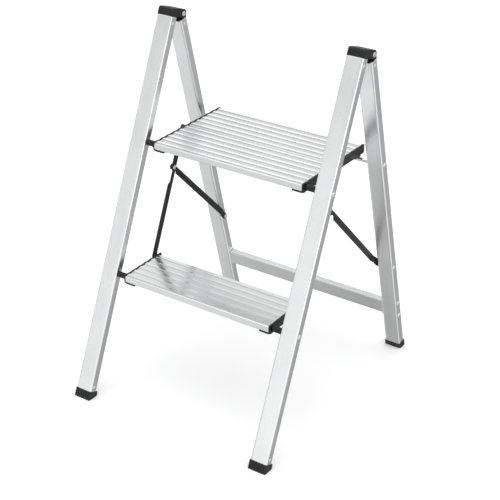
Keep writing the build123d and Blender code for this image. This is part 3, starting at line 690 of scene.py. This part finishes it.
@dataclass(frozen=True)
class BrightSteel:
    """Bright steel of rivets, pins and the rod: light turning marks."""

    name: str
    colour: Colour = (0.94, 0.94, 0.94)
    shade: Colour = (0.76, 0.76, 0.77)
    roughness: float = 0.30
    roughness_drop: float = 0.04
    roughness_spread: float = 0.12
    mark_scale: float = 1400.0
    mark_strength: float = 0.05
    mark_depth: float = 0.1 * MM
    edge_radius: float = 0.35 * MM

    def build(self, effects: Effects) -> bpy.types.Material:
        """Make the material.

        Args:
            effects: the shared node groups.

        Returns:
            The finished material.
        """
        surface = Surface.named(self.name)
        tree = surface.tree
        place = grain_place(tree, Grain.ACROSS)
        lines = effects.place(tree, "drawn_lines", Place=place, Lines=self.mark_scale, Length=200.0)
        mottle = effects.place(tree, "mottle", Place=place, Patch=160.0, Speckle=1200.0)
        wear = effects.place(tree, "edge_wear", Place=place, Radius=self.edge_radius, Breakup=200.0)

        tone = tree.ramp(mottle.outputs["Patches"], *NOISE_SPREAD)
        surface.set("Base Color", tree.mix(tone, self.shade, self.colour))
        surface.set("Metallic", 1.0)
        smoothest = self.roughness - self.roughness_drop
        rough = tree.maths("MULTIPLY_ADD", lines.outputs["Variation"], self.roughness_spread, smoothest)
        surface.set("Roughness", rough)
        surface.relief(lines.outputs["Height"], wear, self.mark_strength, self.mark_depth)
        return surface.material


# ---------------------------------------------------------------- dressing the sub-assemblies
def dress(names: Iterable[str], material: bpy.types.Material) -> None:
    """Give CAD nodes one material, and log each of them.

    Args:
        names: node names.
        material: the material that takes each node's only slot.
    """
    for name in names:
        piece = frame["nodes"][name]
        piece.data.materials.clear()
        piece.data.materials.append(material)
        for polygon in piece.data.polygons:
            polygon.material_index = 0
        log.info("%s: %s", name, material.name)


@dataclass
class Palette:
    """All finishes of the ladder, as materials."""

    effects: Effects

    def build(self) -> dict[str, bpy.types.Material]:
        """Make every material.

        Returns:
            Materials by a short name.
        """
        upper_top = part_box("upper_front_plank")[1].z
        lower_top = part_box("lower_plank")[1].z
        finishes = {
            "front_tube": DrawnAluminium("front_tube_aluminium", Grain.ALONG_FRONT_STILE),
            "rear_tube": DrawnAluminium("rear_tube_aluminium", Grain.ALONG_REAR_STILE, roughness=0.26),
            "brace": DrawnAluminium(
                "brace_aluminium",
                Grain.ACROSS,
                colour=(0.80, 0.805, 0.81),
                shade=(0.70, 0.705, 0.71),
                roughness=0.26,
            ),
            "end_plate": DrawnAluminium("end_plate_aluminium", Grain.ALONG_REAR_STILE, roughness=0.34),
            "upper_tread": RibbedTread("upper_tread_aluminium", upper_top - TREAD_RIDGE),
            # The lower step is the same extrusion as the upper one, with weaker painted highlights and
            # painted shade.
            "lower_tread": RibbedTread(
                "lower_tread_aluminium",
                lower_top - TREAD_RIDGE,
                trough_painted_shade=(0.75, 0.755, 0.76),
                ridge_painted_highlight=(0.79, 0.795, 0.80),
                flank_painted_shade=(0.68, 0.685, 0.69),
                trough_roughness=0.24,
            ),
            "cap": MouldedBlack("cap_plastic"),
            "bush": MouldedBlack("bush_plastic", roughness=0.34, grain_strength=0.12, edge_radius=0.5 * MM),
            "rubber": MouldedBlack(
                "foot_rubber",
                colour=(0.020, 0.020, 0.021),
                rubbed=(0.09, 0.09, 0.092),
                sheen=0.16,
                roughness=0.52,
                grain_strength=0.4,
                dustiness=0.2,
            ),
            "bracket": PowderCoat("bracket_coat"),
            "link": PowderCoat("link_coat", roughness=0.40),
            "rivet": BrightSteel("rivet_steel"),
            "rod": BrightSteel("rod_steel", roughness=0.12, mark_scale=800.0),
        }
        return {key: finish.build(self.effects) for key, finish in finishes.items()}


@dataclass
class FrontFrame:
    """The front stiles with their caps, feet and pivot rivets."""

    materials: dict[str, bpy.types.Material]

    def build(self) -> None:
        """Dress every piece of the front frame."""
        dress(paired("front_stile"), self.materials["front_tube"])
        dress(paired("front_cap"), self.materials["cap"])
        dress(paired("front_foot"), self.materials["rubber"])
        dress(paired("hinge_pin", "upper_pivot_rivet", "lower_pivot_rivet"), self.materials["rivet"])
        dress(["front_cap_rivets", "front_foot_rivets"], self.materials["rivet"])


@dataclass
class RearFrame:
    """The rear stiles with their caps, feet, cross brace and stop rod."""

    materials: dict[str, bpy.types.Material]

    def build(self) -> None:
        """Dress every piece of the rear frame."""
        dress(paired("rear_stile"), self.materials["rear_tube"])
        dress(paired("rear_cap"), self.materials["cap"])
        dress(paired("rear_foot"), self.materials["rubber"])
        dress(["cross_brace"], self.materials["brace"])
        dress(paired("brace_end_plate"), self.materials["end_plate"])
        dress(paired("bar_spacer"), self.materials["bush"])
        dress(["brace_rivets", "rear_cap_rivets", *paired("bar_rivet")], self.materials["rivet"])
        dress(["stop_rod"], self.materials["rod"])


@dataclass
class Step:
    """One step: its treads, brackets, bushes and rivets."""

    level: str
    planks: Sequence[str]
    materials: dict[str, bpy.types.Material]

    def build(self) -> None:
        """Dress every piece of the step."""
        dress(self.planks, self.materials[f"{self.level}_tread"])
        dress(paired(f"{self.level}_bracket"), self.materials["bracket"])
        dress(paired(f"{self.level}_step_bush", f"{self.level}_link_bush"), self.materials["bush"])
        dress([f"{self.level}_strap_rivets", f"{self.level}_plank_rivets"], self.materials["rivet"])
        if self.level == "upper":
            dress(paired("rod_saddle"), self.materials["bush"])


@dataclass
class Linkage:
    """The straps and diagonal bars with their riveted joints."""

    materials: dict[str, bpy.types.Material]

    def build(self) -> None:
        """Dress every piece of the linkage."""
        dress(paired("strap", "diagonal_bar", "bar_stud"), self.materials["link"])
        dress(paired("strap_stud"), self.materials["rivet"])


# ---------------------------------------------------------------- studio
@dataclass(frozen=True)
class MirrorRoom:
    """The room that mirror rays see, as brightnesses that change with direction.

    In front there is a bright band at the height of the ladder, with a dimmer wall above it, a bright
    ceiling, and a grey floor with a brighter patch at each side. Behind there is a white wall over a
    grey floor. A fade is where, along one part of the direction, one brightness turns into the next.
    """

    band: float = 1.12
    wall: float = 0.62
    wall_fade: Range = (0.18, 0.50)
    ceiling: float = 0.80
    ceiling_fade: Range = (0.52, 0.76)
    floor: float = 0.42
    skirting: float = 0.74
    skirting_fade: Range = (-0.80, -0.50)
    band_fade: Range = (-0.34, -0.02)
    left_share: float = 0.80
    left_fade: Range = (-0.66, -0.42)
    left_patch: float = 0.42
    left_patch_fade: Range = (-0.56, -0.42)
    left_patch_top: Range = (-0.65, -0.25)
    right_patch: float = 0.55
    right_patch_fade: Range = (0.1, 0.5)
    right_patch_top: Range = (-0.1, -0.5)
    back_wall: float = 1.0
    back_floor: float = 0.42
    back_fade: Range = (-0.30, 0.10)
    front_fade: Range = (0.3, -0.3)

    def build(self, tree: Tree) -> Socket:
        """Add the room's nodes.

        Args:
            tree: the world's tree.

        Returns:
            The brightness in each direction.
        """
        parts = tree.add("SeparateXYZ", Vector=tree.add("TexCoord").outputs["Generated"])
        sideways, ahead, height = (parts.outputs[name] for name in "XYZ")
        upper = tree.ramp(height, *self.wall_fade, self.band, self.wall)
        skirting = tree.ramp(height, *self.skirting_fade, self.floor, self.skirting)
        to_band = tree.ramp(height, *self.band_fade, 0.0, self.band - self.skirting)
        lower = tree.maths("ADD", skirting, to_band)
        left_shade = tree.ramp(sideways, *self.left_fade, self.left_share, 1.0)
        front = tree.maths("MULTIPLY", tree.maths("MINIMUM", upper, lower), left_shade)
        front = tree.maths("ADD", front, tree.ramp(height, *self.ceiling_fade, 0.0, self.ceiling))
        left_edge = tree.ramp(sideways, *self.left_patch_fade, self.left_patch, 0.0)
        left_top = tree.ramp(height, *self.left_patch_top, 1.0, 0.0)
        front = tree.maths("ADD", front, tree.maths("MULTIPLY", left_edge, left_top))
        right_edge = tree.ramp(sideways, *self.right_patch_fade)
        right_top = tree.ramp(height, *self.right_patch_top)
        right = tree.maths("MULTIPLY", right_edge, right_top)
        front = tree.maths("MULTIPLY_ADD", right, self.right_patch, front)
        back = tree.ramp(height, *self.back_fade, self.back_floor, self.back_wall)
        return tree.blend(tree.ramp(ahead, *self.front_fade), back, front)


@dataclass(frozen=True)
class Softbox:
    """A square area light aimed at the middle of the ladder: edge in metres, power in watts."""

    name: str
    place: Place
    edge: float
    power: float

    def build(self) -> None:
        """Make the light and hide it from the camera."""
        light = bpy.data.lights.new(self.name, "AREA")
        light.shape = "SQUARE"
        light.size = self.edge
        light.energy = self.power
        lamp = bpy.data.objects.new(self.name, light)
        bpy.context.scene.collection.objects.link(lamp)
        low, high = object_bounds()
        middle = (Vector(low) + Vector(high)) / 2
        lamp.location = self.place
        lamp.rotation_euler = (middle - Vector(self.place)).to_track_quat("-Z", "Y").to_euler()
        lamp.visible_camera = False


@dataclass
class Studio:
    """Pale floor, soft surroundings, softboxes and the camera, with its angles in degrees."""

    floor_size: float = 30.0
    floor_colour: Colour = (0.93, 0.93, 0.93)
    floor_cloud_gain: float = 0.99
    floor_roughness: float = 0.9
    room_level: float = 1.28
    mirror_room: MirrorRoom = MirrorRoom()
    softboxes: tuple[Softbox, ...] = (
        Softbox("top_softbox", (-0.4, -0.4, 3.2), 2.6, 8.0),
        Softbox("front_softbox", (2.6, -1.6, 1.0), 1.2, 5.0),
    )
    camera_place: Place = (1.3681, -1.9854, 1.5953)
    azimuth: float = 34.283
    elevation: float = 28.198
    roll: float = -0.103
    lens: float = 92.11
    sensor: float = 36.0

    def build(self) -> None:
        """Make the studio in order: floor, surroundings, lights and camera."""
        self.floor()
        self.surroundings()
        for softbox in self.softboxes:
            softbox.build()
        self.camera()
        bpy.context.scene.view_settings.view_transform = "Standard"

    def floor(self) -> None:
        """Large pale floor under the feet, left out of mirror reflections."""
        half = self.floor_size / 2
        mesh = bpy.data.meshes.new("studio_floor")
        corners = [(-half, -half, 0), (half, -half, 0), (half, half, 0), (-half, half, 0)]
        mesh.from_pydata(corners, [], [(0, 1, 2, 3)])
        floor = bpy.data.objects.new("studio_floor", mesh)
        bpy.context.scene.collection.objects.link(floor)
        floor.location.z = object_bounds()[0][2]
        floor.visible_glossy = False
        surface = Surface.named("studio_floor_paint")
        tree = surface.tree
        noise = tree.noise(tree.add("TexCoord").outputs["Object"], scale=1.4, detail=3.0)
        cloud = tree.ramp(noise, *NOISE_SPREAD)
        clouded = brighter(self.floor_colour, self.floor_cloud_gain)
        surface.set("Base Color", tree.mix(cloud, self.floor_colour, clouded))
        surface.set("Roughness", self.floor_roughness)
        mesh.materials.append(surface.material)
        floor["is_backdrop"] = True

    def surroundings(self) -> None:
        """World: even white light all round, and the shaped room for mirror reflections."""
        world = bpy.data.worlds.new("studio_room")
        bpy.context.scene.world = world
        world.use_nodes = True
        tree = Tree.of(world)
        shaped = self.mirror_room.build(tree)
        mirror = tree.add("LightPath").outputs["Is Glossy Ray"]
        level = tree.blend(mirror, self.room_level, shaped)
        background = tree.add("Background", Color=(1.0, 1.0, 1.0), Strength=level)
        output = tree.add("OutputWorld")
        tree.links.new(background.outputs[0], output.inputs["Surface"])

    def camera(self) -> None:
        """Camera in front of the ladder, to its right and above it."""
        data = bpy.data.cameras.new("studio_camera")
        data.lens = self.lens
        data.sensor_width = self.sensor
        camera = bpy.data.objects.new("studio_camera", data)
        bpy.context.scene.collection.objects.link(camera)
        camera.location = self.camera_place
        pitch, heading, roll = map(math.radians, (90 - self.elevation, self.azimuth, self.roll))
        turn = Euler((pitch, 0.0, heading), "XYZ").to_matrix()
        tilt = Euler((0.0, 0.0, roll), "XYZ").to_matrix()
        camera.rotation_euler = (turn @ tilt).to_euler()
        bpy.context.scene.camera = camera


def main() -> None:
    """Build the looks of every sub-assembly, then the studio."""
    logging.basicConfig(level=logging.INFO, format="%(message)s")
    materials = Palette(build_effects()).build()
    for assembly in (
        FrontFrame(materials),
        RearFrame(materials),
        Step("upper", ("upper_front_plank", "upper_rear_plank"), materials),
        Step("lower", ("lower_plank",), materials),
        Linkage(materials),
        Studio(),
    ):
        assembly.build()
        log.info("built %s", type(assembly).__name__)


if __name__ == "__main__":
    main()
